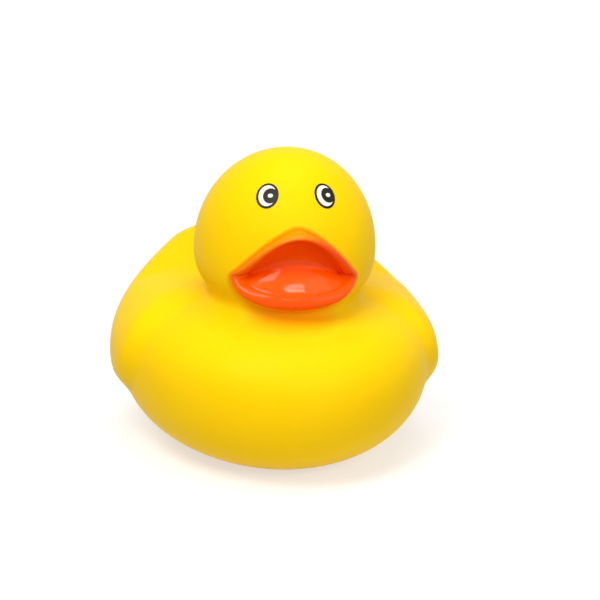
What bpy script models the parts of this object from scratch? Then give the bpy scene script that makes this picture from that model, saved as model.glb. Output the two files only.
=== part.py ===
"""A bath duck in soft vinyl: one hollow moulding, with a press-in squeaker in its base.

Metres, +Z up. The duck faces -Y, stands on its flat base and is centred over the origin.
"""

import math

import bmesh
import bpy
from mathutils import Vector

# Base: the flat oval that the duck stands on
BASE_WIDTH = 0.0218
BASE_FRONT = 0.0160
BASE_REAR = 0.0165

# Gunwale: the widest line round the body, which sweeps up to the tail's tip
BODY_WIDTH = 0.0706
BODY_LENGTH = 0.0820
GUNWALE_HEIGHT = 0.0207
TAIL_HEIGHT = 0.0480
TAIL_PINCH = 0.63
TIP_SHARPNESS = 3.6
TAIL_SWEEP = 2.2

# Fullness of the hull below the gunwale and of the shoulder above it
HULL_FLARE = 0.0102
HULL_RISE = 0.0145
TAIL_RISE = 0.0120
SHOULDER_RISE = 0.0145
TAIL_TIP_RISE = 0.0080

# Neck
NECK_WIDTH = 0.0338
NECK_LENGTH = 0.0338
NECK_HEIGHT = 0.0382
NECK_FILLET = 0.0034
SADDLE_DEPTH = 0.0118
NECK_STRETCH = 0.0030

# Head
HEAD_FORWARD = 0.0088
HEAD_WIDTH = 0.0407
HEAD_LENGTH = 0.0407
HEAD_CENTRE = 0.0484
HEAD_TOP = 0.0715
CROWN_LEAN = 0.0020
CHEEK_RISE = 0.0065

# Wings: a raised teardrop on each flank, from its round shoulder to its tip by the tail
WING_RELIEF = 0.0023
WING_SHOULDER = (-0.0020, 0.0257)
WING_MIDDLE = (0.0160, 0.0258)
WING_TIP = (0.0290, 0.0368)
WING_SHOULDER_RADIUS = 0.0105
WING_MIDDLE_RADIUS = 0.0070
WING_TIP_RADIUS = 0.0035
WING_EDGE = 0.0068
WING_FADE = 0.0086

# Bill, measured from the middle of the head. Its corners hang a little below the middle
BILL_WIDTH = 0.0282
MOUTH_WIDTH = 0.0226
CORNER_REACH = 0.0150
CORNER_DROP = 0.0017
UPPER_REACH = 0.0228
UPPER_LIFT = 0.0086
UPPER_ROOT_LIFT = 0.0108
UPPER_LIP = 0.0012
UPPER_ARCH = 2.0
ROOT_ARCH = 1.25
LOWER_REACH = 0.0212
LOWER_DROP = 0.0054
LOWER_ROOT_DROP = 0.0088
LOWER_LIP = 0.0026
THROAT_REACH = 0.0165
THROAT_WIDTH = 0.0200
THROAT_LIFT = 0.0015
PALATE_DEPTH = 0.0020
TONGUE_DEPTH = 0.0012
LIP_SINK = 0.0012
MOUTH_MARGIN = 0.0007

# Section of the lip, as shares of the way between the sizes above
ROOT_TUCK = 0.85
EDGE_OUT = 0.90
EDGE_AHEAD = 0.70
CREST_OUT = 0.60
CREST_LIFT = 0.50
INNER_LIFT = -0.20

# Share of the way from lip to throat, and the share of the hollow's depth reached there
MOUTH_HOLLOW = ((0.38, 1.0), (0.78, 0.6))

# Where the lip's crest stands in a spoke of the bill
LIP_CREST = 3

# Wall of the moulding, and how far the tail's tip is solid
WALL = 0.0020
TAIL_SOLID = 0.0064

# As shares of the solid tip: how far the cavity's tail drops, and how its handles give way
CAVITY_TAIL_DROP = 0.70
CAVITY_TAIL_EASE = 0.25

# Squeaker: a plug with a snap bead, held in a stepped hole in the base
CLEARANCE = 0.0003
SQUEAKER_SEAT_RADIUS = 0.0080
SQUEAKER_SEAT_DEPTH = 0.0012
SQUEAKER_HOLE_RADIUS = 0.0060
SQUEAKER_BEAD = 0.0006
SQUEAKER_HEIGHT = 0.0075
SQUEAKER_BORE_RADIUS = 0.0036
SQUEAKER_FLOOR = 0.0009
FLANGE_RECESS = 0.0001
AIR_HOLE_RADIUS = 0.0012
REED_BLOCK_HEIGHT = 0.0052
REED_CHANNEL_WIDTH = 0.0020
REED_CHANNEL_DEPTH = 0.0012
REED_THICKNESS = 0.0003
REED_WIDTH = 0.0036
REED_OVERLAP = 0.0008

# Mesh density
MERIDIANS = 88
SKIN_STEPS = (10, 14, 5, 9)
CAVITY_MERIDIANS = 32
CAVITY_STEPS = (4, 6, 3, 4)
BILL_SPOKES = 28
ROUND_SEGMENTS = 40

# Handle length that makes a cubic curve follow a quarter circle, as a share of its radius
ROUND = 0.5523

UP = Vector((0, 0, 1))


def mix(low, high, share):
    return low + (high - low) * share


def oval(angle, half_width, front, rear, pinch=0.0):
    """A point on an oval seen from above. Angle 0 is the breast, half a turn is the tail."""
    ahead = math.cos(angle)
    reach = front if ahead > 0 else rear
    narrowing = 1 - pinch * max(-ahead, 0.0) ** TIP_SHARPNESS
    return Vector((half_width * math.sin(angle) * narrowing, -reach * ahead, 0))


def tailward(angle):
    """0 round the breast and flanks, growing to 1 at the tail."""
    return max(-math.cos(angle), 0.0) ** TAIL_SWEEP


def skin_rings(angle, inset=0.0, tail_inset=0.0):
    """The skin's rings at one meridian, each with its handles below and above.

    The cavity is the same form, inset by the wall, and it stops short of the tail's tip.
    """
    tail = tailward(angle)
    base = oval(angle, BASE_WIDTH / 2, BASE_FRONT, BASE_REAR)
    base.z = inset
    half_length = BODY_LENGTH / 2 - inset
    gunwale = oval(angle, BODY_WIDTH / 2 - inset, half_length, half_length - tail_inset, TAIL_PINCH)
    gunwale.z = mix(GUNWALE_HEIGHT, TAIL_HEIGHT - tail_inset * CAVITY_TAIL_DROP, tail)
    neck = oval(angle, NECK_WIDTH / 2 - inset, NECK_LENGTH / 2 - inset, NECK_LENGTH / 2 - inset)
    neck += Vector((0, -HEAD_FORWARD, NECK_HEIGHT))
    cheek = oval(angle, HEAD_WIDTH / 2 - inset, HEAD_LENGTH / 2 - inset, HEAD_LENGTH / 2 - inset)
    outward = cheek * ROUND
    cheek += Vector((0, -HEAD_FORWARD, HEAD_CENTRE))
    crown = Vector((0, -HEAD_FORWARD - CROWN_LEAN, HEAD_TOP - inset))
    flare = (gunwale - base)
    flare.z = 0
    flare.normalize()
    ease = tail_inset * CAVITY_TAIL_EASE
    shoulder = mix(SHOULDER_RISE, TAIL_TIP_RISE - ease, tail) - inset
    hollow = mix(NECK_FILLET, SADDLE_DEPTH + ease, tail) + inset
    return [
        (base, None, flare * HULL_FLARE),
        (gunwale, UP * mix(HULL_RISE, TAIL_RISE, tail), UP * shoulder),
        (neck, UP * hollow, UP * NECK_STRETCH),
        (cheek, UP * CHEEK_RISE, UP * (HEAD_TOP - inset - HEAD_CENTRE) * ROUND),
        (crown, -outward, None),
    ]


def bezier(start, leaving, arriving, end, share):
    """A point on the cubic curve from start to end with these two handles."""
    rest = 1 - share
    first = start + leaving
    second = end - arriving
    return (
        start * rest**3
        + first * 3 * rest**2 * share
        + second * 3 * rest * share**2
        + end * share**3
    )


def skin_grid(meridians, steps, inset=0.0, tail_inset=0.0):
    """Rows of skin points from the base's edge to the crown, one column for each meridian."""
    columns = []
    for index in range(meridians):
        rings = skin_rings(math.tau * index / meridians, inset, tail_inset)
        column = []
        for (start, _, leaving), (end, arriving, _), count in zip(rings, rings[1:], steps):
            column += [bezier(start, leaving, arriving, end, n / count) for n in range(count)]
        columns.append(column)
    return [list(row) for row in zip(*columns)]


def segment_place(point, start, end):
    """How far point lies from a segment, and the share of the segment where it is nearest."""
    along = end - start
    share = max(0.0, min(1.0, (point - start).dot(along) / along.length_squared))
    return (point - start - along * share).length, share


def wing_height(point):
    """Relief of the wing at a point of the flank, seen from the side."""
    seen = Vector((0, point.y, point.z))
    shoulder, middle, tip = (Vector((0, *p)) for p in (WING_SHOULDER, WING_MIDDLE, WING_TIP))
    best = -BODY_LENGTH
    for start, end, low, high in (
        (shoulder, middle, WING_SHOULDER_RADIUS, WING_MIDDLE_RADIUS),
        (middle, tip, WING_MIDDLE_RADIUS, WING_TIP_RADIUS),
    ):
        gap, share = segment_place(seen, start, end)
        best = max(best, mix(low, high, share) - gap)
    share = max(0.0, min(1.0, best / WING_EDGE + 0.5))
    return WING_RELIEF * share * share * (3 - 2 * share)


def raise_wings(rows):
    """Moves the flank's points outwards by the wing's relief."""
    count = len(rows[0])
    moved = [list(row) for row in rows]
    for r in range(1, len(rows) - 1):
        for c in range(count):
            point = rows[r][c]
            side = min(abs(point.x) / WING_FADE, 1.0)
            around = rows[r][(c + 1) % count] - rows[r][c - 1]
            rising = rows[r + 1][c] - rows[r - 1][c]
            outward = around.cross(rising).normalized()
            moved[r][c] = point + outward * wing_height(point) * side
    return moved


def closed_grid(name, rows, start, end):
    """A closed mesh from rings of points, with a fan to a pole at each end."""
    bm = bmesh.new()
    loops = [[bm.verts.new(point) for point in row] for row in rows]
    first = bm.verts.new(start)
    last = bm.verts.new(end)
    count = len(rows[0])
    for c in range(count):
        after = (c + 1) % count
        bm.faces.new((first, loops[0][after], loops[0][c]))
        bm.faces.new((last, loops[-1][c], loops[-1][after]))
        for low, high in zip(loops, loops[1:]):
            bm.faces.new((low[c], low[after], high[after], high[c]))
    bmesh.ops.recalc_face_normals(bm, faces=bm.faces)
    mesh = bpy.data.meshes.new(name)
    bm.to_mesh(mesh)
    bm.free()
    mesh.shade_smooth()
    return mesh


def skin_mesh():
    rows = raise_wings(skin_grid(MERIDIANS, SKIN_STEPS))
    return closed_grid("duck_body", rows, (0, 0, 0), (0, -HEAD_FORWARD - CROWN_LEAN, HEAD_TOP))


def cavity_mesh():
    rows = skin_grid(CAVITY_MERIDIANS, CAVITY_STEPS, WALL, TAIL_SOLID)
    crown = (0, -HEAD_FORWARD - CROWN_LEAN, HEAD_TOP - WALL)
    return closed_grid("cavity", rows, (0, 0, WALL), crown)


def bill_spoke(angle):
    """One spoke of the open bill, from its root in the head over the lip to the throat.

    Angle 0 and half a turn are the corners. The upper jaw lies between them, and the
    lower jaw on the way back. Each point is sideways, forward and up from the head's middle.
    """
    side = math.cos(angle)
    rise = abs(math.sin(angle))
    if math.sin(angle) >= 0:
        reach, lip, hollow = UPPER_REACH, UPPER_LIP, PALATE_DEPTH
        height = UPPER_LIFT * (1 - abs(side) ** UPPER_ARCH)
        root_height = UPPER_ROOT_LIFT * (1 - abs(side) ** ROOT_ARCH)
        up = rise
    else:
        reach, lip, hollow = LOWER_REACH, LOWER_LIP, -TONGUE_DEPTH
        height = -LOWER_DROP * rise
        root_height = -LOWER_ROOT_DROP * rise
        up = -rise
    bill, mouth, throat_half = (width / 2 * side for width in (BILL_WIDTH, MOUTH_WIDTH, THROAT_WIDTH))
    root = mix(CORNER_REACH, HEAD_LENGTH / 2, rise) - LIP_SINK
    out = mix(CORNER_REACH, reach, rise)
    sink = mix(CORNER_REACH, THROAT_REACH, rise) - WALL
    tucked = (bill * ROOT_TUCK, sink, root_height * ROOT_TUCK)
    edge = (mix(mouth, bill, EDGE_OUT), mix(root, out, EDGE_AHEAD), height + up * lip)
    crest = (mix(mouth, bill, CREST_OUT), out, height + up * lip * CREST_LIFT)
    inner = (mouth, out - LIP_SINK / 2, height + up * lip * INNER_LIFT)
    throat = (throat_half, mix(CORNER_REACH - LIP_SINK, THROAT_REACH, rise), THROAT_LIFT * rise**2)
    spoke = [tucked, (bill, root, root_height), edge, crest, inner]
    for share, sag in MOUTH_HOLLOW:
        x, y, z = (mix(a, b, share) for a, b in zip(inner, throat))
        spoke.append((x, y, z + hollow * rise * sag))
    drop = CORNER_DROP * side**2
    return [(x, y, z - drop) for x, y, z in (*spoke, throat)]


def spoke_mesh(name, spokes, hub):
    """A closed cage from spokes round the mouth, with a hub that closes their first ends.

    Spokes above and below each other end in the same place, on the throat's line.
    """
    bm = bmesh.new()
    loops = []
    for spoke in spokes:
        loops.append([bm.verts.new((x, -HEAD_FORWARD - y, HEAD_CENTRE + z)) for x, y, z in spoke])
    centre = bm.verts.new((0, -HEAD_FORWARD - hub, HEAD_CENTRE))
    for this, after in zip(loops, loops[1:] + loops[:1]):
        bm.faces.new((centre, this[0], after[0]))
        for n in range(len(this) - 1):
            bm.faces.new((this[n], this[n + 1], after[n + 1], after[n]))
    bmesh.ops.remove_doubles(bm, verts=bm.verts, dist=1e-6)
    bmesh.ops.recalc_face_normals(bm, faces=bm.faces)
    mesh = bpy.data.meshes.new(name)
    bm.to_mesh(mesh)
    bm.free()
    mesh.shade_smooth()
    return mesh


def bill_mesh():
    spokes = [bill_spoke(math.tau * index / BILL_SPOKES) for index in range(BILL_SPOKES)]
    return spoke_mesh("bill", spokes, THROAT_REACH - WALL)


def mouth_mesh():
    """The room that the open mouth takes from the head, a little behind the bill's own skin."""
    ahead = UPPER_REACH + MOUTH_MARGIN
    spokes = []
    for index in range(BILL_SPOKES):
        crest, *inside = bill_spoke(math.tau * index / BILL_SPOKES)[LIP_CREST:]
        room = [(x, y - MOUTH_MARGIN, z) for x, y, z in (crest, *inside)]
        spokes.append([(crest[0], ahead, crest[2])] + room)
    return spoke_mesh("mouth", spokes, ahead)


def material(name, colour, roughness):
    made = bpy.data.materials.new(name)
    made.use_nodes = True
    shader = made.node_tree.nodes["Principled BSDF"]
    shader.inputs["Base Color"].default_value = (*colour, 1)
    shader.inputs["Roughness"].default_value = roughness
    made.diffuse_color = (*colour, 1)
    return made


def add_object(name, mesh, collection, finish):
    made = bpy.data.objects.new(name, mesh)
    collection.objects.link(made)
    mesh.materials.append(finish)
    return made


def as_cutter(cutter):
    cutter.hide_render = True
    cutter.display_type = "WIRE"
    return cutter


def add_boolean(target, tool, operation):
    step = target.modifiers.new(tool.name, "BOOLEAN")
    step.object = tool
    step.operation = operation
    step.solver = "EXACT"


def turned(name, profile, collection, finish):
    """A piece turned about the Z axis. The profile runs down the outer side, top to bottom."""
    bm = bmesh.new()
    points = [bm.verts.new((radius, 0, height)) for radius, height in profile]
    for this, after in zip(points, points[1:]):
        bm.edges.new((this, after))
    if profile[0][0] > 0:
        bm.edges.new((points[-1], points[0]))
    mesh = bpy.data.meshes.new(name)
    bm.to_mesh(mesh)
    bm.free()
    made = add_object(name, mesh, collection, finish)
    screw = made.modifiers.new("turn", "SCREW")
    screw.steps = screw.render_steps = ROUND_SEGMENTS
    screw.use_merge_vertices = True
    screw.merge_threshold = 0.00001
    return made


def box(name, low, high, collection, finish):
    bm = bmesh.new()
    bmesh.ops.create_cube(bm, size=1)
    low, high = Vector(low), Vector(high)
    for vert in bm.verts:
        vert.co = (low + high) / 2 + vert.co * (high - low)
    mesh = bpy.data.meshes.new(name)
    bm.to_mesh(mesh)
    bm.free()
    return add_object(name, mesh, collection, finish)


def squeaker_hole(cutters, finish):
    """The stepped hole in the base: a seat for the flange, then the hole through the wall."""
    reach = WALL * 2
    profile = [
        (0, reach),
        (SQUEAKER_HOLE_RADIUS, reach),
        (SQUEAKER_HOLE_RADIUS, SQUEAKER_SEAT_DEPTH),
        (SQUEAKER_SEAT_RADIUS, SQUEAKER_SEAT_DEPTH),
        (SQUEAKER_SEAT_RADIUS, -reach),
        (0, -reach),
    ]
    return as_cutter(turned("squeaker_hole", profile, cutters, finish))


def squeaker_housing(parts, finish):
    """The plug: flange, neck through the wall, snap bead above it, and an open barrel."""
    neck = SQUEAKER_HOLE_RADIUS - CLEARANCE
    bead = SQUEAKER_HOLE_RADIUS + SQUEAKER_BEAD
    bead_foot = WALL + CLEARANCE
    bead_top = bead_foot + (bead - neck)
    profile = [
        (SQUEAKER_BORE_RADIUS, SQUEAKER_HEIGHT),
        (neck, SQUEAKER_HEIGHT),
        (neck, bead_top),
        (bead, bead_foot + SQUEAKER_BEAD / 2),
        (bead, bead_foot),
        (neck, bead_foot),
        (neck, SQUEAKER_SEAT_DEPTH - CLEARANCE),
        (SQUEAKER_SEAT_RADIUS - CLEARANCE, SQUEAKER_SEAT_DEPTH - CLEARANCE),
        (SQUEAKER_SEAT_RADIUS - CLEARANCE, FLANGE_RECESS),
        (AIR_HOLE_RADIUS, FLANGE_RECESS),
        (AIR_HOLE_RADIUS, SQUEAKER_FLOOR),
        (SQUEAKER_BORE_RADIUS, SQUEAKER_FLOOR),
    ]
    return turned("squeaker_housing", profile, parts, finish)


def reed_block(parts, cutters, finish):
    """The block in the plug's bore: half a cylinder, with an air channel along its flat."""
    radius = SQUEAKER_BORE_RADIUS - CLEARANCE
    foot = SQUEAKER_FLOOR + CLEARANCE
    top = foot + REED_BLOCK_HEIGHT
    block = turned("squeaker_reed_block", [(0, top), (radius, top), (radius, foot), (0, foot)], parts, finish)
    side = SQUEAKER_BORE_RADIUS * 2
    half = as_cutter(box("reed_flat", (-side, -side, 0), (side, 0, side * 2), cutters, finish))
    channel_low = (-REED_CHANNEL_WIDTH / 2, -side, foot + REED_OVERLAP)
    channel_high = (REED_CHANNEL_WIDTH / 2, REED_CHANNEL_DEPTH, side * 2)
    channel = as_cutter(box("reed_channel", channel_low, channel_high, cutters, finish))
    add_boolean(block, half, "DIFFERENCE")
    add_boolean(block, channel, "DIFFERENCE")
    return block


def reed(parts, finish):
    """The thin tongue that lies along the block's flat and sounds over its channel."""
    foot = SQUEAKER_FLOOR + CLEARANCE
    low = (-REED_WIDTH / 2, -CLEARANCE - REED_THICKNESS, foot)
    high = (REED_WIDTH / 2, -CLEARANCE, foot + REED_BLOCK_HEIGHT)
    return box("squeaker_reed", low, high, parts, finish)


def main():
    for old in list(bpy.data.objects):
        bpy.data.objects.remove(old)
    parts = bpy.data.collections.new("bath_duck")
    cutters = bpy.data.collections.new("cutters")
    for made in (parts, cutters):
        bpy.context.scene.collection.children.link(made)
    vinyl = material("yellow_vinyl", (1.0, 0.68, 0.02), 0.42)
    paint = material("orange_paint", (1.0, 0.12, 0.0), 0.25)
    plug = material("white_polythene", (0.86, 0.86, 0.82), 0.45)
    film = material("reed_film", (0.75, 0.78, 0.80), 0.30)

    duck = add_object("duck_body", skin_mesh(), parts, vinyl)
    duck.data.materials.append(paint)
    bill = as_cutter(add_object("bill", bill_mesh(), cutters, paint))
    smooth = bill.modifiers.new("smooth", "SUBSURF")
    smooth.levels = smooth.render_levels = 1
    mouth = as_cutter(add_object("mouth", mouth_mesh(), cutters, paint))
    cavity = as_cutter(add_object("cavity", cavity_mesh(), cutters, vinyl))
    add_boolean(duck, mouth, "DIFFERENCE")
    add_boolean(duck, cavity, "DIFFERENCE")
    add_boolean(duck, bill, "UNION")
    add_boolean(duck, squeaker_hole(cutters, vinyl), "DIFFERENCE")
    squeaker_housing(parts, plug)
    reed_block(parts, cutters, plug)
    reed(parts, film)


main()
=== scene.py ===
import math

import bmesh
import bpy
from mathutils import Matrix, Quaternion, Vector
from mathutils.bvhtree import BVHTree


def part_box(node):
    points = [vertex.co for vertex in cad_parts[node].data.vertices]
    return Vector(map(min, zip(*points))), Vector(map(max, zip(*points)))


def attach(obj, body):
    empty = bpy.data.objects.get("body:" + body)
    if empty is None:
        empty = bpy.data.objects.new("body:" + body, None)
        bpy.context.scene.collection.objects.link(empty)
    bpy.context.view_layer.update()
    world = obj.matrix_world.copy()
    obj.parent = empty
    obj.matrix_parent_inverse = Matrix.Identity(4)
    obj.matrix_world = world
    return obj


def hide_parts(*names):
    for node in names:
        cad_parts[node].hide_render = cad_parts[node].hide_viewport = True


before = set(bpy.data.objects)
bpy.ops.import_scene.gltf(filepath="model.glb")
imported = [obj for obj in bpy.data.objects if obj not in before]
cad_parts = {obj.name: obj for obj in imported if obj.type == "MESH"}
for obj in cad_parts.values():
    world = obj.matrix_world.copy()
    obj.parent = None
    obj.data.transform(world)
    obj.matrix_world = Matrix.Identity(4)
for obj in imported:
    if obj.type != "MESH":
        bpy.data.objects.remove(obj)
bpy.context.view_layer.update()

# The skin: one hollow moulding of soft yellow vinyl, slush moulded in a two-part mould, so
# that head, breast, wings and tail are one smooth surface with an even wall behind it.
# Its form follows a rule: four rings swept round the duck, and cubic curves up to the crown.
duck_low, duck_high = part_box("duck_body")
SKIN_SIZES = {
    "Base Width": 0.0218,
    "Base Front": 0.0160,
    "Base Rear": 0.0165,
    "Body Width": 0.0706,
    "Body Length": duck_high.y - duck_low.y,
    "Gunwale Height": 0.0207,
    "Tail Height": 0.0480,
    "Tail Pinch": 0.63,
    "Tip Sharpness": 3.6,
    "Tail Sweep": 2.2,
    "Hull Flare": 0.0102,
    "Hull Rise": 0.0145,
    "Tail Rise": 0.0120,
    "Shoulder Rise": 0.0145,
    "Tail Tip Rise": 0.0080,
    "Neck Width": 0.0338,
    "Neck Length": 0.0338,
    "Neck Height": 0.0382,
    "Neck Fillet": 0.0034,
    "Saddle Depth": 0.0118,
    "Neck Stretch": 0.0030,
    "Head Forward": 0.0088,
    "Head Width": 0.0407,
    "Head Length": 0.0407,
    "Head Centre": 0.0484,
    "Head Top": duck_high.z,
    "Crown Lean": 0.0020,
    "Cheek Rise": 0.0065,
}
WING_SIZES = {
    "Wing Relief": 0.0023,
    "Wing Shoulder": (0, -0.0020, 0.0257),
    "Wing Middle": (0, 0.0160, 0.0258),
    "Wing Tip": (0, 0.0290, 0.0368),
    "Shoulder Radius": 0.0105,
    "Middle Radius": 0.0070,
    "Tip Radius": 0.0035,
    "Wing Edge": 0.0068,
    "Wing Fade": 0.0086,
}
HEAD = Vector((0, -SKIN_SIZES["Head Forward"], SKIN_SIZES["Head Centre"]))
SKIN_MERIDIANS = 320
SKIN_ROWS = 209
WELD_DISTANCE = 0.000002

# The four curves of a meridian, the least step before the next, and the handle that draws a
# quarter circle of radius 1
CURVES = 4
CURVE_STEP = 0.00001
QUARTER_ROUND = 0.5523

# The wall is even, but the tip of the tail is solid, so the cavity ends short of it
WALL = 0.0020
TAIL_SOLID = 0.0064
CAVITY_TAIL_DROP = 0.70
CAVITY_TAIL_EASE = 0.25
CAVITY_MERIDIANS = 32
CAVITY_ROWS = 18


class Sum:
    """A number or a vector that a node tree works out, so that its rule reads as arithmetic."""

    def __init__(self, tree, socket):
        self.tree = tree
        self.socket = socket

    def node(self, kind, operation, *terms):
        made = self.tree.nodes.new(kind)
        made.operation = operation
        for slot, term in zip(made.inputs, (self, *terms)):
            plug(self.tree, slot, term)
        return made

    def math(self, operation, *terms):
        return Sum(self.tree, self.node("ShaderNodeMath", operation, *terms).outputs[0])

    def vector(self, operation, *terms):
        return Sum(self.tree, self.node("ShaderNodeVectorMath", operation, *terms).outputs[0])

    def measure(self, operation, *terms):
        """A number taken from vectors, such as a length."""
        return Sum(self.tree, self.node("ShaderNodeVectorMath", operation, *terms).outputs["Value"])

    def times(self, number):
        """A vector's length changed by a number."""
        made = self.tree.nodes.new("ShaderNodeVectorMath")
        made.operation = "SCALE"
        plug(self.tree, made.inputs[0], self)
        plug(self.tree, made.inputs["Scale"], number)
        return Sum(self.tree, made.outputs[0])

    def clamped(self):
        """The number, kept between 0 and 1."""
        return self.math("MAXIMUM", 0.0).math("MINIMUM", 1.0)

    def rest(self):
        """What is left of 1."""
        return self * -1 + 1

    def __add__(self, other):
        return self.math("ADD", other)

    def __sub__(self, other):
        return self.math("SUBTRACT", other)

    def __mul__(self, other):
        return self.math("MULTIPLY", other)

    def __truediv__(self, other):
        return self.math("DIVIDE", other)

    def __pow__(self, other):
        return self.math("POWER", other)


def plug(tree, slot, term):
    if isinstance(term, Sum):
        tree.links.new(term.socket, slot)
    else:
        slot.default_value = term


def mix(low, high, share):
    return low + (high - low) * share


def eased(share):
    """A share that leaves 0 and reaches 1 gently."""
    return share * share * (share * -2.0 + 3.0)


def tree_with(name, sizes):
    """A new geometry tree with one named input for each size, and its inputs as sums."""
    tree = bpy.data.node_groups.new(name, "GeometryNodeTree")
    for way in ("INPUT", "OUTPUT"):
        tree.interface.new_socket("Geometry", in_out=way, socket_type="NodeSocketGeometry")
    for label, value in sizes.items():
        kind = "NodeSocketVector" if isinstance(value, tuple) else "NodeSocketFloat"
        kind = "NodeSocketMaterial" if isinstance(value, bpy.types.Material) else kind
        tree.interface.new_socket(label, in_out="INPUT", socket_type=kind)
    entry = tree.nodes.new("NodeGroupInput")
    return tree, {label: Sum(tree, entry.outputs[label]) for label in ("Geometry", *sizes)}


def grown(name, tree, sizes, seed=None):
    """The mesh that a geometry tree makes with these sizes, from a seed mesh or from nothing."""
    carrier = placed(name, seed or bpy.data.meshes.new(name))
    growth = carrier.modifiers.new("growth", "NODES")
    growth.node_group = tree
    for item in tree.interface.items_tree:
        if item.in_out == "INPUT" and item.name in sizes:
            growth[item.identifier] = sizes[item.name]
    return coated(applied(carrier), sizes["Material"])


def placed(name, mesh):
    made = bpy.data.objects.new(name, mesh)
    bpy.context.scene.collection.objects.link(made)
    return made


def applied(made):
    """The object's mesh with its modifiers worked in, and the object removed."""
    bpy.context.view_layer.update()
    ready = made.evaluated_get(bpy.context.evaluated_depsgraph_get())
    mesh = bpy.data.meshes.new_from_object(ready)
    bpy.data.objects.remove(made)
    return mesh


def coated(mesh, *materials):
    """Gives a mesh these materials, with the first one on every face."""
    mesh.materials.clear()
    for material in materials:
        mesh.materials.append(material)
    mesh.polygons.foreach_set("material_index", [0] * len(mesh.polygons))
    return mesh


def combine(tree, x, y, z):
    made = tree.nodes.new("ShaderNodeCombineXYZ")
    for slot, term in zip(made.inputs, (x, y, z)):
        plug(tree, slot, term)
    return Sum(tree, made.outputs[0])


def chosen(tree, index, choices):
    """The vector that stands at this index in the list."""
    made = tree.nodes.new("GeometryNodeIndexSwitch")
    made.data_type = "VECTOR"
    while len(made.index_switch_items) < len(choices):
        made.index_switch_items.new()
    plug(tree, made.inputs[0], index)
    for slot, choice in zip(list(made.inputs)[1:], choices):
        plug(tree, slot, choice)
    return Sum(tree, made.outputs[0])


def polar_grid(tree, around, outward):
    """A grid whose rows close round a pole: the mesh, the angle and the share from the pole."""
    grid = tree.nodes.new("GeometryNodeMeshGrid")
    for label, value in (("Size X", 1), ("Size Y", 1), ("Vertices X", around), ("Vertices Y", outward)):
        plug(tree, grid.inputs[label], value)
    place = tree.nodes.new("GeometryNodeInputPosition")
    split = tree.nodes.new("ShaderNodeSeparateXYZ")
    tree.links.new(place.outputs[0], split.inputs[0])
    angle = (Sum(tree, split.outputs["X"]) + 0.5) * math.tau
    return grid.outputs["Mesh"], angle, Sum(tree, split.outputs["Y"]) + 0.5


def moved(tree, geometry, position=None, offset=None):
    made = tree.nodes.new("GeometryNodeSetPosition")
    tree.links.new(geometry, made.inputs["Geometry"])
    if position:
        plug(tree, made.inputs["Position"], position)
    if offset:
        plug(tree, made.inputs["Offset"], offset)
    return made.outputs["Geometry"]


def welded(tree, geometry):
    made = tree.nodes.new("GeometryNodeMergeByDistance")
    tree.links.new(geometry, made.inputs["Geometry"])
    made.inputs["Distance"].default_value = WELD_DISTANCE
    return made.outputs["Geometry"]


def finished(tree, geometry, material):
    """Ends a tree: instances made real, the material set, and the result sent out."""
    real = tree.nodes.new("GeometryNodeRealizeInstances")
    tree.links.new(geometry, real.inputs[0])
    dressed = tree.nodes.new("GeometryNodeSetMaterial")
    tree.links.new(real.outputs[0], dressed.inputs["Geometry"])
    plug(tree, dressed.inputs["Material"], material)
    end = tree.nodes.new("NodeGroupOutput")
    tree.links.new(dressed.outputs[0], end.inputs["Geometry"])


def wing_height(tree, size):
    """Relief of the wing: a teardrop swept from the shoulder over the middle to the tip."""
    place = Sum(tree, tree.nodes.new("GeometryNodeInputPosition").outputs[0])
    seen = place.vector("MULTIPLY", (0, 1, 1))
    depths = []
    for start, end, low, high in (
        ("Wing Shoulder", "Wing Middle", "Shoulder Radius", "Middle Radius"),
        ("Wing Middle", "Wing Tip", "Middle Radius", "Tip Radius"),
    ):
        along = size[end].vector("SUBTRACT", size[start])
        away = seen.vector("SUBTRACT", size[start])
        share = (away.measure("DOT_PRODUCT", along) / along.measure("DOT_PRODUCT", along)).clamped()
        gap = away.vector("SUBTRACT", along.times(share))
        depths.append(mix(size[low], size[high], share) - gap.measure("LENGTH"))
    depth = depths[0].math("MAXIMUM", depths[1])
    raised = eased((depth / size["Wing Edge"] + 0.5).clamped())
    split = tree.nodes.new("ShaderNodeSeparateXYZ")
    plug(tree, split.inputs[0], place)
    side = (Sum(tree, split.outputs["X"]).math("ABSOLUTE") / size["Wing Fade"]).math("MINIMUM", 1.0)
    return size["Wing Relief"] * raised * side


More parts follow.
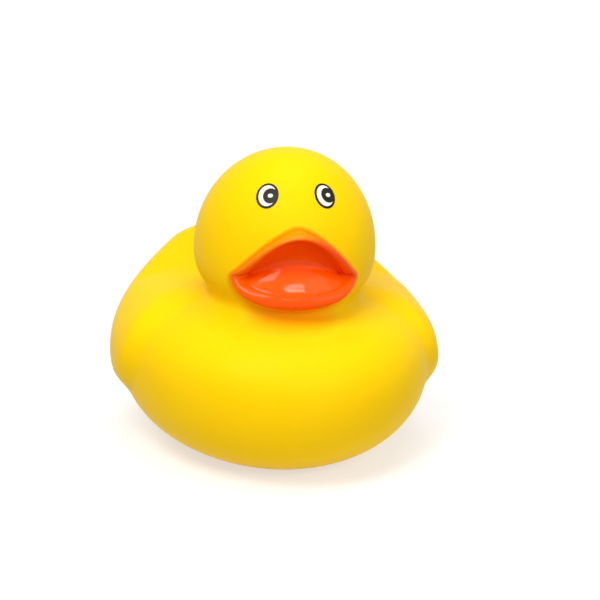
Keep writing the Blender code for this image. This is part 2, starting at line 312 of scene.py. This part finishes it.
def skin_tree():
    """The rule of the skin: rings, their handles, and the curves between them."""
    rule = dict.fromkeys(("Meridians", "Rows", "Inset", "Tail Inset"), 0.0)
    sizes = {**rule, **SKIN_SIZES, **WING_SIZES, "Material": vinyl}
    tree, size = tree_with("duck_skin_rule", sizes)
    mesh, angle, share = polar_grid(tree, size["Meridians"] + 1, size["Rows"])
    inset, tail_inset = size["Inset"], size["Tail Inset"]
    ahead, side = angle.math("COSINE"), angle.math("SINE")
    in_front = ahead.math("GREATER_THAN", 0.0)
    behind = (ahead * -1).math("MAXIMUM", 0.0)
    tail = behind ** size["Tail Sweep"]
    up = combine(tree, 0.0, 0.0, 1.0)

    def ring(half_width, front, rear, height, middle=0.0):
        reach = mix(rear, front, in_front)
        return combine(tree, half_width * side, reach * ahead * -1 + middle, height)

    base = ring(size["Base Width"] / 2, size["Base Front"], size["Base Rear"], inset)
    pinched = (size["Tail Pinch"] * behind ** size["Tip Sharpness"]).rest()
    half_width = (size["Body Width"] / 2 - inset) * pinched
    half_length = size["Body Length"] / 2 - inset
    tail_height = size["Tail Height"] - tail_inset * CAVITY_TAIL_DROP
    gunwale_height = mix(size["Gunwale Height"], tail_height, tail)
    gunwale = ring(half_width, half_length, half_length - tail_inset, gunwale_height)
    middle = size["Head Forward"] * -1
    neck_width = size["Neck Width"] / 2 - inset
    neck_length = size["Neck Length"] / 2 - inset
    neck = ring(neck_width, neck_length, neck_length, size["Neck Height"], middle)
    head_width = size["Head Width"] / 2 - inset
    head_length = size["Head Length"] / 2 - inset
    cheek = ring(head_width, head_length, head_length, size["Head Centre"], middle)
    crown = combine(tree, 0.0, middle - size["Crown Lean"], size["Head Top"] - inset)
    floor = combine(tree, 0.0, 0.0, inset)
    starts = [floor, base, gunwale, neck, cheek]
    ends = [base, gunwale, neck, cheek, crown]

    # The handles that each curve leaves and reaches its rings with
    flare = gunwale.vector("SUBTRACT", base).vector("MULTIPLY", (1, 1, 0)).vector("NORMALIZE")
    outward = combine(tree, head_width * side, head_length * ahead * -1, 0.0)
    ease = tail_inset * CAVITY_TAIL_EASE
    hull = mix(size["Hull Rise"], size["Tail Rise"], tail)
    shoulder = mix(size["Shoulder Rise"], size["Tail Tip Rise"] - ease, tail) - inset
    hollow = mix(size["Neck Fillet"], size["Saddle Depth"] + ease, tail) + inset
    head_rise = size["Head Top"] - inset - size["Head Centre"]
    leaving = [floor, flare.times(size["Hull Flare"]), up.times(shoulder), up.times(size["Neck Stretch"])]
    leaving.append(up.times(head_rise * QUARTER_ROUND))
    arriving = [floor, up.times(hull), up.times(hollow), up.times(size["Cheek Rise"])]
    arriving.append(outward.times(QUARTER_ROUND * -1))

    # The first row is the floor's middle, and the others run up the four curves
    row = share * (size["Rows"] - 1) - 1
    climb = (row / (size["Rows"] - 2) * CURVES).math("MINIMUM", CURVES - CURVE_STEP)
    curve = (climb.math("FLOOR") + 1).math("MAXIMUM", 0.0)
    part = (climb - climb.math("FLOOR")) * row.math("GREATER_THAN", -0.5)
    at_crown = row.math("GREATER_THAN", size["Rows"] - 2.5)
    part = part + part.rest() * at_crown
    start, end = chosen(tree, curve, starts), chosen(tree, curve, ends)
    first = start.vector("ADD", chosen(tree, curve, leaving))
    second = end.vector("SUBTRACT", chosen(tree, curve, arriving))
    rest = part.rest()
    position = start.times(rest * rest * rest)
    position = position.vector("ADD", first.times(rest * rest * part * 3))
    position = position.vector("ADD", second.times(rest * part * part * 3))
    position = position.vector("ADD", end.times(part * part * part))
    mesh = welded(tree, moved(tree, mesh, position=position))
    normal = Sum(tree, tree.nodes.new("GeometryNodeInputNormal").outputs[0])
    mesh = moved(tree, mesh, offset=normal.times(wing_height(tree, size)))
    finished(tree, mesh, size["Material"])
    return tree


def outward_mesh(mesh):
    """Turns every face of a closed mesh outwards and shades it smooth."""
    bm = bmesh.new()
    bm.from_mesh(mesh)
    bmesh.ops.recalc_face_normals(bm, faces=bm.faces)
    bm.to_mesh(mesh)
    bm.free()
    mesh.shade_smooth()
    return mesh


def surface(name, **fixed):
    """A new material, its tree and its shader, with values that are the same all over."""
    made = bpy.data.materials.new(name)
    made.use_nodes = True
    shader = made.node_tree.nodes["Principled BSDF"]
    for label, value in fixed.items():
        shader.inputs[label.replace("_", " ")].default_value = value
    return made, made.node_tree, shader


def noise(tree, scale):
    """Noise of this many lumps a metre, fixed to the piece."""
    place = tree.nodes.new("ShaderNodeTexCoord")
    made = tree.nodes.new("ShaderNodeTexNoise")
    made.inputs["Scale"].default_value = scale
    tree.links.new(place.outputs["Object"], made.inputs["Vector"])
    return Sum(tree, made.outputs["Fac"])


def uneven(tree, number, scale, depth):
    """The number, made a little more and a little less in lumps, by this much in all."""
    return number + noise(tree, scale) * depth - depth / 2


def ramp(tree, share, stops):
    """A colour that runs through these stops, each a share and a colour."""
    made = tree.nodes.new("ShaderNodeValToRGB")
    stand = made.color_ramp.elements
    while len(stand) < len(stops):
        stand.new(0.5)
    for element, (at, colour) in zip(stand, stops):
        element.position = at
        element.color = (*colour, 1)
    plug(tree, made.inputs["Fac"], share)
    return made.outputs["Color"]


def painted(tree, name):
    """A number painted on the mesh."""
    made = tree.nodes.new("ShaderNodeAttribute")
    made.attribute_name = name
    return Sum(tree, made.outputs["Fac"])


def bumped(tree, shader, height, distance, strength):
    made = tree.nodes.new("ShaderNodeBump")
    made.inputs["Distance"].default_value = distance
    made.inputs["Strength"].default_value = strength
    plug(tree, made.inputs["Height"], height)
    tree.links.new(made.outputs["Normal"], shader.inputs["Normal"])


# The bare vinyl is golden, and the paint runs from lemon to red orange as it gets thicker
GOLDEN = (1.0, 0.60, 0.002)
LEMON = (1.0, 0.62, 0.006)
AMBER = (1.0, 0.28, 0.0)
ORANGE = (0.97, 0.115, 0.0)
RED_ORANGE = (1.0, 0.072, 0.0)
CLOUD_SCALE = 60
CLOUD_DEPTH = 0.10
FINE_GRAIN = 2600
COARSE_GRAIN = 320
FINE_SHARE = 0.4
GRAIN_DEPTH = 0.00004


def vinyl_material():
    """Satin vinyl: faint clouds in the pigment, a fine mould grain, and orange paint overspray, drawn
    wide under the jaw as painted shade.
    """
    made, tree, shader = surface(
        "yellow_vinyl",
        Roughness=0.42,
        Specular_IOR_Level=0.035,
        Subsurface_Weight=0.25,
        Subsurface_Scale=0.004,
        Subsurface_Radius=(1.0, 0.5, 0.05),
    )
    coat = uneven(tree, painted(tree, "coat"), CLOUD_SCALE, CLOUD_DEPTH)
    stops = [(0.0, GOLDEN), (0.06, LEMON), (0.45, AMBER), (0.85, ORANGE), (1.0, RED_ORANGE)]
    tree.links.new(ramp(tree, coat, stops), shader.inputs["Base Color"])
    grain = noise(tree, FINE_GRAIN) * FINE_SHARE + noise(tree, COARSE_GRAIN) * (1 - FINE_SHARE)
    bumped(tree, shader, grain, distance=GRAIN_DEPTH, strength=0.5)
    return made


vinyl = vinyl_material()
skin_rule = skin_tree()
skin_sizes = {**SKIN_SIZES, **WING_SIZES, "Material": vinyl}
outside = {"Meridians": SKIN_MERIDIANS, "Rows": SKIN_ROWS, "Inset": 0.0, "Tail Inset": 0.0}
inside = {"Meridians": CAVITY_MERIDIANS, "Rows": CAVITY_ROWS, "Inset": WALL, "Tail Inset": TAIL_SOLID}
skin = outward_mesh(grown("skin", skin_rule, {**skin_sizes, **outside}))
inside_sizes = {**skin_sizes, **inside, "Wing Relief": 0.0}
cavity = outward_mesh(grown("cavity", skin_rule, inside_sizes))

# The bill: part of the same moulding, held open, with a rim round the lips and a tongue.
# It is sprayed with gloss orange paint, thick in the mouth and thin on the upper bill, and
# a little of it drifts on to the yellow vinyl under the jaw, where it is drawn wider as painted
# shade under the bill.
BILL_WIDTH = 0.0282
MOUTH_WIDTH = 0.0226
CORNER_REACH = 0.0150
CORNER_DROP = 0.0017
UPPER_REACH = 0.0228
UPPER_LIFT = 0.0086
UPPER_ROOT_LIFT = 0.0108
UPPER_LIP = 0.0012
UPPER_ARCH = 2.0
ROOT_ARCH = 1.25
LOWER_REACH = 0.0212
LOWER_DROP = 0.0054
LOWER_ROOT_DROP = 0.0088
LOWER_LIP = 0.0026
THROAT_REACH = 0.0165
THROAT_WIDTH = 0.0200
THROAT_LIFT = 0.0015
LIP_SINK = 0.0012
ROOT_TUCK = 0.85
EDGE_OUT = 0.90
EDGE_AHEAD = 0.70
CREST_OUT = 0.60
CREST_LIFT = 0.50
INNER_LIFT = -0.20
BILL_SPOKES = 28
BILL_LEVELS = 3

# Rings between lip and throat: the share of the way inwards, and the height of palate or tongue
PALATE = ((0.12, 0.0008), (0.30, 0.0018), (0.50, 0.0020), (0.78, 0.0012))
TONGUE = ((0.12, -0.0009), (0.30, -0.0003), (0.50, 0.0002), (0.78, 0.0003))

# The mouth's cut starts from the spokes' ring on the lip's crest. HAIR is too short to see
LIP_CREST = 3
MOUTH_MARGIN = 0.0007
HAIR = 0.000001

# How much paint each ring of a spoke carries above and below, from the root inwards, the last
# value for all that follow. The mask for the upper bill sat a little askew, so the duck's left
# side got more paint
UPPER_COAT = (0.46, 0.46, 0.50, 0.56, 1.0)
LOWER_COAT = (0.66, 0.70, 0.86, 0.92, 0.95, 0.90, 0.80, 0.82, 0.95)
CORNER_COAT = 0.74
MASK_LEAN = 0.60


def bill_spoke(angle):
    """One spoke of the open bill, from its root in the head over the lip to the throat.

    Angle 0 and half a turn are the corners. Each point is sideways, forward and up from the
    head's middle.
    """
    side = math.cos(angle)
    rise = abs(math.sin(angle))
    if math.sin(angle) >= 0:
        reach, lip, hollow, up = UPPER_REACH, UPPER_LIP, PALATE, rise
        height = UPPER_LIFT * (1 - abs(side) ** UPPER_ARCH)
        root_height = UPPER_ROOT_LIFT * (1 - abs(side) ** ROOT_ARCH)
    else:
        reach, lip, hollow, up = LOWER_REACH, LOWER_LIP, TONGUE, -rise
        height, root_height = -LOWER_DROP * rise, -LOWER_ROOT_DROP * rise
    widths = (BILL_WIDTH, MOUTH_WIDTH, THROAT_WIDTH)
    bill_side, mouth_side, throat_side = (width / 2 * side for width in widths)
    root = mix(CORNER_REACH, SKIN_SIZES["Head Length"] / 2, rise) - LIP_SINK
    out = mix(CORNER_REACH, reach, rise)
    sunk = mix(CORNER_REACH, THROAT_REACH, rise) - WALL
    deep = mix(CORNER_REACH - LIP_SINK, THROAT_REACH, rise)
    tucked = (bill_side * ROOT_TUCK, sunk, root_height * ROOT_TUCK)
    edge = (mix(mouth_side, bill_side, EDGE_OUT), mix(root, out, EDGE_AHEAD), height + up * lip)
    crest = (mix(mouth_side, bill_side, CREST_OUT), out, height + up * lip * CREST_LIFT)
    inner = (mouth_side, out - LIP_SINK / 2, height + up * lip * INNER_LIFT)
    throat = (throat_side, deep, THROAT_LIFT * rise**2)
    spoke = [tucked, (bill_side, root, root_height), edge, crest, inner]
    for share, lift in hollow:
        x, y, z = (mix(a, b, share) for a, b in zip(inner, throat))
        spoke.append((x, y, z + lift * rise))
    drop = CORNER_DROP * side**2
    return [(x, y, z - drop) for x, y, z in (*spoke, throat)]


def spoke_coat(angle):
    """The paint on a spoke's rings, which comes to one even coat at the bill's corners."""
    above = math.sin(angle) >= 0
    middle = UPPER_COAT if above else LOWER_COAT
    lean = MASK_LEAN * max(math.cos(angle), 0.0) if above else 0.0
    inwards = abs(math.sin(angle)) ** 0.5
    return [min(mix(CORNER_COAT, coat, inwards) + lean, 1.0) for coat in middle]


def spoke_cage(spokes, coats, hub):
    """A closed cage from spokes round the mouth, with a hub that closes their first ends."""
    bm = bmesh.new()
    paint_layer = bm.verts.layers.float.new("coat")
    loops = []
    for spoke, coat in zip(spokes, coats):
        loop = [bm.verts.new(HEAD + Vector((x, -y, z))) for x, y, z in spoke]
        for n, vert in enumerate(loop):
            vert[paint_layer] = coat[min(n, len(coat) - 1)]
        loops.append(loop)
    centre = bm.verts.new(HEAD + Vector((0, -hub, 0)))
    for this, after in zip(loops, loops[1:] + loops[:1]):
        bm.faces.new((centre, this[0], after[0]))
        for n in range(len(this) - 1):
            bm.faces.new((this[n], this[n + 1], after[n + 1], after[n]))
    bmesh.ops.remove_doubles(bm, verts=bm.verts, dist=HAIR)
    mesh = bpy.data.meshes.new("cage")
    bm.to_mesh(mesh)
    bm.free()
    return outward_mesh(mesh)


PAINT_SCALE = 420
PAINT_DEPTH = 0.08
THIN_ROUGHNESS = 0.46
THICK_ROUGHNESS = 0.04
RIPPLE_SCALE = 500
RIPPLE_DEPTH = 0.00005


def paint_material():
    """Gloss orange paint over yellow: amber where it is thin, red orange where it is thick."""
    made, tree, shader = surface("orange_bill_paint", Specular_IOR_Level=0.13)
    coat = uneven(tree, painted(tree, "coat"), PAINT_SCALE, PAINT_DEPTH)
    stops = [(0.0, LEMON), (0.45, AMBER), (0.75, ORANGE), (1.0, RED_ORANGE)]
    tree.links.new(ramp(tree, coat, stops), shader.inputs["Base Color"])
    roughness = coat * (THICK_ROUGHNESS - THIN_ROUGHNESS) + THIN_ROUGHNESS
    plug(tree, shader.inputs["Roughness"], roughness)
    bumped(tree, shader, noise(tree, RIPPLE_SCALE), distance=RIPPLE_DEPTH, strength=0.25)
    return made


paint = paint_material()
angles = [math.tau * index / BILL_SPOKES for index in range(BILL_SPOKES)]
spokes = [bill_spoke(angle) for angle in angles]
cage = placed("bill_cage", spoke_cage(spokes, [spoke_coat(a) for a in angles], THROAT_REACH - WALL))
smooth = cage.modifiers.new("smooth", "SUBSURF")
smooth.levels = smooth.render_levels = BILL_LEVELS
bill = coated(applied(cage), paint)

# The mouth is cut along the same spokes from the lip's crest inwards, and open in front
ahead = UPPER_REACH + MOUTH_MARGIN
mouth_spokes = []
for spoke in spokes:
    room = [(x, y - MOUTH_MARGIN, z) for x, y, z in spoke[LIP_CREST:]]
    x, _, z = spoke[LIP_CREST]
    mouth_spokes.append([(x, ahead, z), *room])
mouth = coated(spoke_cage(mouth_spokes, [[1.0]] * BILL_SPOKES, ahead), vinyl)

# The moulding as it leaves the mould: skin and bill are one wall, with the hollow inside and
# a stepped hole cut in the base for the squeaker. The paint is sprayed on last, through a
# mask that leaves a soft edge below the jaw, drawn wide there as painted shade under the bill.
SEAT_RADIUS = 0.0080
SEAT_DEPTH = 0.0012
HOLE_RADIUS = 0.0060
HOLE_SEGMENTS = 96
MOULD_CREASE = 50
UPPER_DRIFT = 0.0014
# Below the jaw the drift reaches far and stands in for painted shade under the bill as well as overspray
LOWER_DRIFT_AND_SHADE = 0.0085
UPPER_DRIFT_COAT = 0.50
LOWER_DRIFT_AND_SHADE_COAT = 0.36
JAW_DEPTH = 0.0060
PAINT_EDGE = 0.0005


def turned_mesh(profile):
    """A solid turned about the Z axis from its outline, which starts and ends on the axis."""
    turns = [math.tau * n / HOLE_SEGMENTS for n in range(HOLE_SEGMENTS)]
    bm = bmesh.new()
    rings = []
    for radius, height in profile:
        if radius:
            points = [(radius * math.cos(turn), radius * math.sin(turn), height) for turn in turns]
            rings.append([bm.verts.new(point) for point in points])
        else:
            rings.append([bm.verts.new((0, 0, height))] * HOLE_SEGMENTS)
    for low, high in zip(rings, rings[1:]):
        for n in range(HOLE_SEGMENTS):
            after = (n + 1) % HOLE_SEGMENTS
            corners = (low[n], low[after], high[after], high[n])
            bm.faces.new(list(dict.fromkeys(corners)))
    mesh = bpy.data.meshes.new("turned")
    bm.to_mesh(mesh)
    bm.free()
    return outward_mesh(mesh)


def moulded(mesh, steps):
    """The mesh after cuts and unions, done in order."""
    body = placed("moulding", mesh)
    tools = []
    for tool, operation in steps:
        tools.append(placed("tool", tool))
        step = body.modifiers.new(operation.lower(), "BOOLEAN")
        step.object = tools[-1]
        step.operation = operation
        step.solver = "EXACT"
    result = applied(body)
    for tool in tools:
        bpy.data.objects.remove(tool)
    return result


def clamp(number):
    return min(max(number, 0.0), 1.0)


def bill_coat(place, face, coat):
    """The bill's own paint at this place on one of its faces, from the face's corners."""
    corners = bill.polygons[face].vertices
    weights = [1 / ((bill.vertices[c].co - place).length + HAIR) for c in corners]
    return sum(w * coat[c].value for w, c in zip(weights, corners)) / sum(weights)


def drift_and_shade_coat(place, gap):
    """The paint that drifted on to the skin, this far from the nearest place on the bill, with painted
    shade under the jaw.
    """
    # Low on the head, below the jaw, the wide drift is painted shade under the bill as well as paint
    low = clamp((HEAD.z - CORNER_DROP - place.z) / JAW_DEPTH)
    askew = clamp(place.x / (BILL_WIDTH / 2))
    reach = mix(UPPER_DRIFT * (1 - MASK_LEAN * askew), LOWER_DRIFT_AND_SHADE, low)
    thickest = mix(UPPER_DRIFT_COAT, LOWER_DRIFT_AND_SHADE_COAT, low)
    return thickest * (1 - eased(min(gap / reach, 1.0)))


def spray(mesh):
    """Paints the coat on every corner: the bill's own on the bill, drifting paint and painted shade under
    the jaw around it.
    """
    tree = BVHTree.FromPolygons([v.co for v in bill.vertices], [tuple(p.vertices) for p in bill.polygons])
    paint_on_bill = bill.attributes["coat"].data
    on_bill, on_skin = [], []
    for vert in mesh.vertices:
        place, _, face, gap = tree.find_nearest(vert.co)
        own = bill_coat(place, face, paint_on_bill)
        on_bill.append(own)
        on_skin.append(mix(own, drift_and_shade_coat(place, gap), min(gap / PAINT_EDGE, 1.0)))
    values = []
    for face in mesh.polygons:
        coat = on_bill if face.material_index else on_skin
        values.extend(coat[vertex] for vertex in face.vertices)
    mesh.attributes.remove(mesh.attributes["coat"])
    mesh.attributes.new("coat", "FLOAT", "CORNER").data.foreach_set("value", values)


seat = [(0, WALL * 2), (HOLE_RADIUS, WALL * 2), (HOLE_RADIUS, SEAT_DEPTH)]
seat += [(SEAT_RADIUS, SEAT_DEPTH), (SEAT_RADIUS, -WALL), (0, -WALL)]
hole = coated(turned_mesh(seat), vinyl)
cuts = [(mouth, "DIFFERENCE"), (cavity, "DIFFERENCE"), (bill, "UNION"), (hole, "DIFFERENCE")]
moulding = moulded(coated(skin.copy(), vinyl, paint), cuts)
moulding.shade_smooth()
moulding.set_sharp_from_angle(angle=math.radians(MOULD_CREASE))
spray(moulding)
duck = placed("duck_moulding", moulding)
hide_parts("duck_body")
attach(duck, "root")

# The eyes: pad printed on the head in four passes of ink, a dark rim, white, a dark pupil and
# a glint. The pad presses square on to the skin, so each pass wraps round the head, and both
# pupils look towards the duck's left.
EYE_TURN = 24.3
EYE_RISE = 46.5
EYE_LEAN = 5.0
EYE_WIDTH = 0.00500
EYE_HEIGHT = 0.00585
EYE_RIM = 0.00052
PUPIL_WIDTH = 0.00330
PUPIL_HEIGHT = 0.00345
PRINT_SHIFT = -0.00020
PUPIL_SHIFT = 0.00052
GLINT_WIDTH = 0.00115
GLINT_HEIGHT = 0.00090
INK_STEP = 0.00003
INK_SINK = 0.00015
INK_CREASE = 40
PAD_REACH = 0.05
INK_AROUND = 72
INK_ROWS = 14
EYE_SIZES = dict.fromkeys(("Turn", "Rise", "Lean", "Width", "Height", "Shift", "Lift"), 0.0)
INK = {
    "darker": 0.88,
    "blotches": 900,
    "grain": 1500,
    "depth": 0.00002,
    "strength": 0.3,
    "Roughness": 0.35,
    "Specular_IOR_Level": 0.08,
}


def ink_tree(material):
    """One pass of ink: a disc pressed on to the skin along the pad's axis, closed underneath."""
    tree, size = tree_with("eye_ink", {**EYE_SIZES, "Centre": (0, 0, 0), "Material": material})
    mesh, angle, share = polar_grid(tree, INK_AROUND + 1, INK_ROWS)
    row = share * (INK_ROWS - 1)
    top = row.math("LESS_THAN", INK_ROWS - 2.5)
    last = row.math("GREATER_THAN", INK_ROWS - 1.5)
    radius = (row / (INK_ROWS - 3)).math("MINIMUM", 1.0) * last.rest()
    turn_sine, turn_cosine = size["Turn"].math("SINE"), size["Turn"].math("COSINE")
    rise_sine, rise_cosine = size["Rise"].math("SINE"), size["Rise"].math("COSINE")
    lean_sine, lean_cosine = size["Lean"].math("SINE"), size["Lean"].math("COSINE")
    axis = combine(tree, turn_sine * rise_cosine, turn_cosine * rise_cosine * -1, rise_sine)
    across = combine(tree, turn_cosine, turn_sine, 0.0)
    up = axis.vector("CROSS_PRODUCT", across)
    wide = size["Width"] / 2 * radius * angle.math("COSINE")
    tall = size["Height"] / 2 * radius * angle.math("SINE")
    sideways = wide * lean_cosine - tall * lean_sine + size["Shift"]
    upward = wide * lean_sine + tall * lean_cosine
    source = size["Centre"].vector("ADD", axis.times(PAD_REACH))
    source = source.vector("ADD", across.times(sideways)).vector("ADD", up.times(upward))
    ray = tree.nodes.new("GeometryNodeRaycast")
    plug(tree, ray.inputs["Target Geometry"], size["Geometry"])
    plug(tree, ray.inputs["Source Position"], source)
    plug(tree, ray.inputs["Ray Direction"], axis.times(-1.0))
    plug(tree, ray.inputs["Ray Length"], PAD_REACH)
    hit = Sum(tree, ray.outputs["Hit Position"])
    lift = size["Lift"] * top - top.rest() * INK_SINK
    position = hit.vector("ADD", Sum(tree, ray.outputs["Hit Normal"]).times(lift))
    finished(tree, welded(tree, moved(tree, mesh, position=position)), size["Material"])
    return tree


def mottled_material(name, colour, darker, blotches, grain, depth, strength, **fixed):
    """A plain finish with faint darker blotches and a fine grain, each with its lumps a metre."""
    made, tree, shader = surface(name, **fixed)
    dark = tuple(c * darker for c in colour)
    shade = ramp(tree, noise(tree, blotches), [(0.3, colour), (0.7, dark)])
    tree.links.new(shade, shader.inputs["Base Color"])
    bumped(tree, shader, noise(tree, grain), depth, strength)
    return made


def print_eyes(name, material, width, height, shift, layer):
    """One pass of ink on both sides of the head, on top of the passes before it."""
    tree = ink_tree(material)
    bm = bmesh.new()
    for side in (-1, 1):
        sizes = {
            "Centre": tuple(HEAD),
            "Turn": math.radians(EYE_TURN) * side,
            "Rise": math.radians(EYE_RISE),
            "Lean": math.radians(EYE_LEAN) * -side,
            "Width": width,
            "Height": height,
            "Shift": shift,
            "Lift": INK_STEP * layer,
            "Material": material,
        }
        bm.from_mesh(grown(name, tree, sizes, skin.copy()))
    mesh = bpy.data.meshes.new(name)
    bm.to_mesh(mesh)
    bm.free()
    made = placed(name, coated(outward_mesh(mesh), material))
    mesh.set_sharp_from_angle(angle=math.radians(INK_CREASE))
    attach(made, "root")


dark_ink = mottled_material("dark_ink", (0.020, 0.013, 0.005), **INK)
white_ink = mottled_material("white_ink", (0.86, 0.82, 0.72), **INK)
pupil_ink = mottled_material("pupil_ink", (0.022, 0.019, 0.014), **INK)
white_width = EYE_WIDTH - EYE_RIM * 2
white_height = EYE_HEIGHT - EYE_RIM * 2
print_eyes("eye_rims", dark_ink, EYE_WIDTH, EYE_HEIGHT, PRINT_SHIFT, 1)
print_eyes("eye_whites", white_ink, white_width, white_height, PRINT_SHIFT, 2)
print_eyes("eye_pupils", pupil_ink, PUPIL_WIDTH, PUPIL_HEIGHT, PUPIL_SHIFT, 3)
print_eyes("eye_glints", white_ink, GLINT_WIDTH, GLINT_HEIGHT, PUPIL_SHIFT, 4)

# The squeaker: a white polythene plug snapped into the base, its reed block and its thin reed.
# They are hidden inside but for the plug's face, which has a small air hole.
PLASTIC = {"darker": 0.92, "blotches": 300, "depth": 0.00003, "strength": 0.4}
polythene = mottled_material("white_polythene", (0.80, 0.80, 0.76), Roughness=0.5, grain=1800, **PLASTIC)
film = mottled_material("reed_film", (0.72, 0.75, 0.78), Roughness=0.25, grain=700, **PLASTIC)
finishes = {"squeaker_housing": polythene, "squeaker_reed_block": polythene, "squeaker_reed": film}
for node, material in finishes.items():
    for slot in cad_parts[node].material_slots:
        slot.material = material

# The studio: a pale table that the duck stands on, which runs out of sight into white. A broad
# soft lamp stands on the left in front, a weak one on the right and one overhead, and a narrow
# strip in front draws the highlights on the glossy bill.
TABLE_SIZE = 6.0
TABLE_GAP = 0.00002
TABLE_NEAR = 0.045
TABLE_FAR = 0.085
CAMERA_AZIMUTH = -9.2
CAMERA_ELEVATION = 17.6
CAMERA_DISTANCE = 0.6
CAMERA_ROLL = 2.6
PICTURE_RIGHT = 0.00398
PICTURE_DOWN = 0.01171
LENS = 160.9
SENSOR_WIDTH = 36

# Near the duck: how pale the table is, and its share of the white that it shows further out
TABLE_PALE = 0.50
TABLE_GLOW = 0.55

# How much of the table's white and of the world's lights the duck
TABLE_BOUNCE = 0.42
WORLD_LIGHT = 0.45

# Each lamp's name, place, width and height, and power
LAMPS = (
    ("key", (-0.32, -0.42, 0.68), (0.34, 0.34), 4.1),
    ("fill", (0.45, -0.55, 0.35), (0.40, 0.40), 0.9),
    ("top", (0.05, -0.05, 0.80), (0.50, 0.50), 2.1),
    ("strip", (0.08, -0.64, 0.40), (0.26, 0.025), 0.8),
)


def seen_white(tree):
    """1 for the camera and for what gloss and glass show, 0 for light on the object."""
    path = tree.nodes.new("ShaderNodeLightPath")
    camera_ray = Sum(tree, path.outputs["Is Camera Ray"])
    glossy = Sum(tree, path.outputs["Is Glossy Ray"])
    through = Sum(tree, path.outputs["Is Transmission Ray"])
    return camera_ray.math("MAXIMUM", glossy).math("MAXIMUM", through)


def table_material():
    """Pale near the duck, where it takes the shadow, and plain white further out."""
    made, tree, shader = surface("pale_table", Roughness=0.9, Specular_IOR_Level=0.1)
    place = Sum(tree, tree.nodes.new("ShaderNodeTexCoord").outputs["Object"])
    away = place.measure("LENGTH")
    white = eased(((away - TABLE_NEAR) / (TABLE_FAR - TABLE_NEAR)).clamped())
    pale = white.rest() * TABLE_PALE
    plug(tree, shader.inputs["Base Color"], combine(tree, pale, pale, pale))
    shader.inputs["Emission Color"].default_value = (1, 1, 1, 1)
    glow = white * (1 - TABLE_GLOW) + TABLE_GLOW
    seen = seen_white(tree) * (1 - TABLE_BOUNCE) + TABLE_BOUNCE
    plug(tree, shader.inputs["Emission Strength"], seen * glow)
    return made


def aimed(made, place, target, roll=0.0):
    """Puts a camera or lamp at a place, looking at the target."""
    made.location = place
    made.rotation_mode = "QUATERNION"
    turn = (Vector(target) - Vector(place)).to_track_quat("-Z", "Y")
    made.rotation_quaternion = turn @ Quaternion((0, 0, 1), math.radians(roll))
    bpy.context.scene.collection.objects.link(made)


bm = bmesh.new()
bmesh.ops.create_grid(bm, x_segments=1, y_segments=1, size=TABLE_SIZE / 2)
table_mesh = bpy.data.meshes.new("table")
bm.to_mesh(table_mesh)
bm.free()
table = placed("table", coated(table_mesh, table_material()))
table.location.z = -TABLE_GAP

world = bpy.data.worlds.new("studio")
bpy.context.scene.world = world
world.use_nodes = True
background = world.node_tree.nodes["Background"]
background.inputs["Color"].default_value = (1, 1, 1, 1)
white = seen_white(world.node_tree)
plug(world.node_tree, background.inputs["Strength"], white * (1 - WORLD_LIGHT) + WORLD_LIGHT)

for name, place, (width, height), power in LAMPS:
    lamp = bpy.data.lights.new(name, "AREA")
    lamp.shape = "RECTANGLE"
    lamp.size = width
    lamp.size_y = height
    lamp.energy = power
    aimed(bpy.data.objects.new(name, lamp), place, HEAD)

lens = bpy.data.cameras.new("camera")
lens.lens = LENS
lens.sensor_width = SENSOR_WIDTH
camera = bpy.data.objects.new("camera", lens)
azimuth, elevation = math.radians(CAMERA_AZIMUTH), math.radians(CAMERA_ELEVATION)
back = Vector((math.sin(azimuth), -math.cos(azimuth), math.tan(elevation))).normalized()
right = Vector((math.cos(azimuth), math.sin(azimuth), 0))
picture_centre = HEAD + right * PICTURE_RIGHT - back.cross(right) * PICTURE_DOWN
aimed(camera, HEAD + back * CAMERA_DISTANCE, picture_centre, CAMERA_ROLL)
bpy.context.scene.camera = camera
bpy.context.scene.view_settings.view_transform = "Standard"
